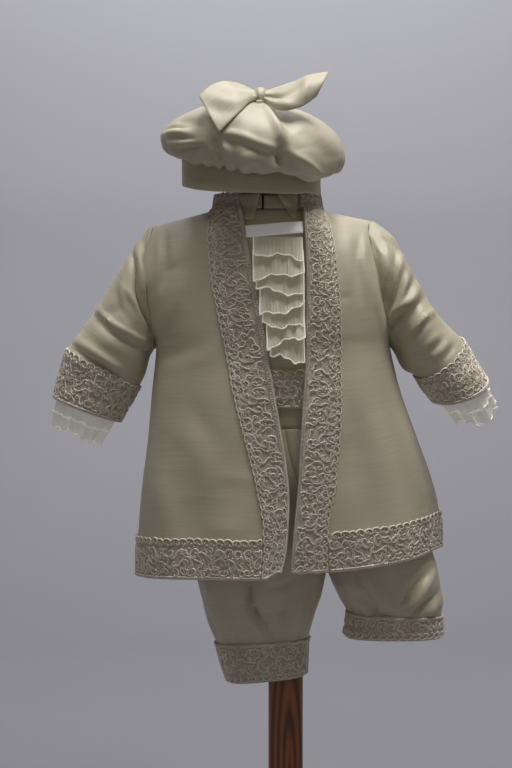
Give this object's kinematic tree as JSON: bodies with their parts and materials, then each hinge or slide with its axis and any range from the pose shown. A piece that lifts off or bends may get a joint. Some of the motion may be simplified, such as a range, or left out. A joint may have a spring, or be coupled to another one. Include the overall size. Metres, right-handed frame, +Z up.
{
  "type": "christening suit on a wooden display stand",
  "caption": "Baby's christening suit of silk coat, shirt, breeches and beret with corded lace, worn by a wooden post stand that holds it up for display.",
  "frame": {"origin": "The middle of the underside of the stand's base board, on the post's axis.", "axes": "Z up. The suit faces -Y. X runs from the viewer's left to the right, with the coat's wider sleeve at -X."},
  "size_m": [0.4791, 0.25, 0.8346],
  "materials": {
    "silk": "cream silk dupion, lined, with a soft sheen and fine slubs",
    "lace": "pinkish cream corded scrolls on taupe net, with small beads",
    "organza": "sheer white organza with overlocked cream edges",
    "ribbon": "plain white satin ribbon",
    "wood": "reddish brown stained wood under satin varnish"
  },
  "bodies": {
    "root": {"stand_base": "wood", "stand_post": "wood", "stand_waist_board": "wood", "stand_yoke": "wood", "stand_upper_post": "wood", "stand_neck": "wood", "stand_head_block": "wood", "coat_front_left": "silk", "coat_front_right": "silk", "coat_back": "silk", "lace_front_left": "lace", "lace_front_right": "lace", "lace_hem_left": "lace", "lace_hem_right": "lace", "lace_hem_back": "lace", "coat_collar": "lace", "sleeve_left": "silk", "lace_cuff_left": "lace", "cuff_frill_left": "organza", "sleeve_right": "silk", "lace_cuff_right": "lace", "cuff_frill_right": "organza", "neck_ribbon": "ribbon", "shirt_front": "silk", "shirt_back": "silk", "jabot_frill_1": "organza", "jabot_frill_2": "organza", "jabot_frill_3": "organza", "jabot_frill_4": "organza", "jabot_frill_5": "organza", "jabot_frill_6": "organza", "jabot_frill_7": "organza", "shirt_neckband": "silk", "shirt_collar_left": "silk", "shirt_collar_right": "silk", "waistband": "silk", "lace_waist": "lace", "breeches_front_left": "silk", "breeches_back_left": "silk", "lace_leg_left": "lace", "breeches_front_right": "silk", "breeches_back_right": "silk", "lace_leg_right": "lace", "cap_band": "silk", "cap_crown": "silk", "bow_end_left": "silk", "bow_end_right": "silk", "bow_knot": "silk"}
  },
  "joints": []
}
